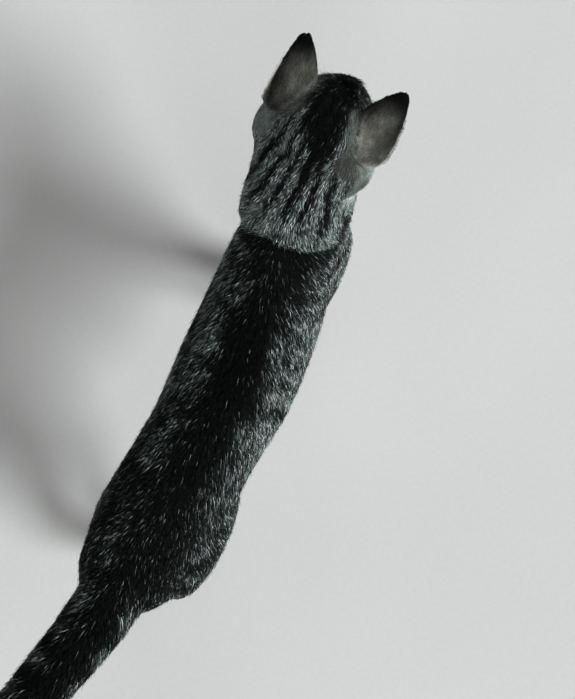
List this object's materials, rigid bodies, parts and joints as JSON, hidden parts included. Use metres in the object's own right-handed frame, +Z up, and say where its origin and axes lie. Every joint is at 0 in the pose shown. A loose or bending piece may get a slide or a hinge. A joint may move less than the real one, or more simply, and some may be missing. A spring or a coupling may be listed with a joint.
{
  "type": "cat",
  "caption": "Slim short-haired tabby cat, standing with its head lowered and its tail stretched out behind, life size, still.",
  "frame": {"origin": "on the floor under the middle of the animal's outline seen from above", "axes": "+Y along the body towards the tail, the head faces -Y, +X towards the cat's left, +Z up"},
  "size_m": [0.133, 0.6706, 0.3328],
  "materials": {
    "tabby_coat": "short dense fur, grey mackerel tabby",
    "ear_coat": "very short fur over thin skin",
    "eye_glass": "wet gloss",
    "nose_leather": "damp satin"
  },
  "bodies": {
    "root": {"abdomen": "tabby_coat", "chest": "tabby_coat", "ear_left": "ear_coat", "ear_right": "ear_coat", "eye_left": "eye_glass", "eye_right": "eye_glass", "fore_paw_left": "tabby_coat", "fore_paw_right": "tabby_coat", "forearm_left": "tabby_coat", "forearm_right": "tabby_coat", "head": "tabby_coat", "hind_paw_left": "tabby_coat", "hind_paw_right": "tabby_coat", "neck": "tabby_coat", "nose": "nose_leather", "rump": "tabby_coat", "shank_left": "tabby_coat", "shank_right": "tabby_coat", "tail_base": "tabby_coat", "tail_middle": "tabby_coat", "tail_tip": "tabby_coat", "thigh_left": "tabby_coat", "thigh_right": "tabby_coat", "upper_arm_left": "tabby_coat", "upper_arm_right": "tabby_coat"}
  },
  "joints": []
}
